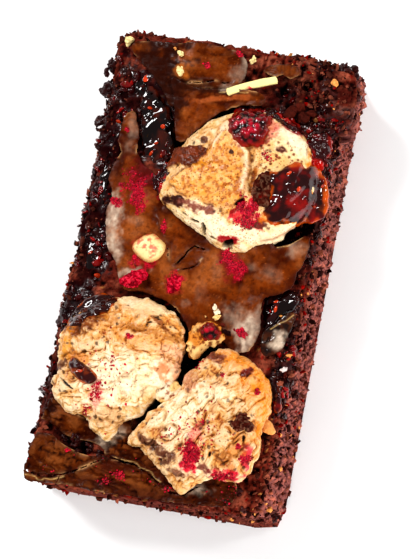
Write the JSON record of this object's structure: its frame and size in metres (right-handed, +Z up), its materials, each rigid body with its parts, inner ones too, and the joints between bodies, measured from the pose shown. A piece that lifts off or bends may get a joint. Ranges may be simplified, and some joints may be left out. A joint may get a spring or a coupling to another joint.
{
  "type": "chocolate brownie",
  "caption": "Rectangular chocolate brownie bar with a thin crackled skin, sunk toasted marshmallows, seeded red jam, white chocolate and crushed dried berry.",
  "frame": {"origin": "middle of the flat base, on the surface the bar rests on", "axes": "+Z up, +Y along the bar towards the end with the single marshmallow, +X towards the side that the picture shows as a cut face"},
  "size_m": [0.0601, 0.11, 0.0318],
  "materials": {
    "crumb": "matt, open dark cocoa crumb with small holes, damp and slightly shiny where jam has soaked in",
    "marshmallow": "toasted marshmallow crust, cream to orange brown, wrinkled, satin",
    "jam": "dark red seeded jam, wet gloss",
    "cooked_berry": "soft cooked red berry, dark and damp with a powdery middle",
    "white_chocolate": "ivory white chocolate, low gloss",
    "nut": "roasted nut, tan, matt",
    "dried_berry": "freeze-dried red berry, crimson, matt and granular",
    "skin": "thin baked brownie skin, milk brown, satin with fine cracks and pale torn edges"
  },
  "bodies": {
    "root": {"brownie": "crumb", "marshmallow_rear": "marshmallow", "marshmallow_left": "marshmallow", "marshmallow_right": "marshmallow", "marshmallow_scrap": "marshmallow", "jam_rear_right": "jam", "jam_rear_left": "jam", "jam_left_edge": "jam", "jam_middle_right": "jam", "jam_front_right": "jam", "jam_on_left_marshmallow": "jam", "jam_drop": "jam", "cooked_berry_rear": "cooked_berry", "cooked_berry_middle": "cooked_berry", "crumb_on_rear_marshmallow": "crumb", "crumb_on_right_marshmallow": "crumb", "white_chip": "white_chocolate", "white_stick": "white_chocolate", "nut_piece": "nut", "berry_chunk_left": "dried_berry", "berry_chunk_middle": "dried_berry"}
  },
  "joints": []
}
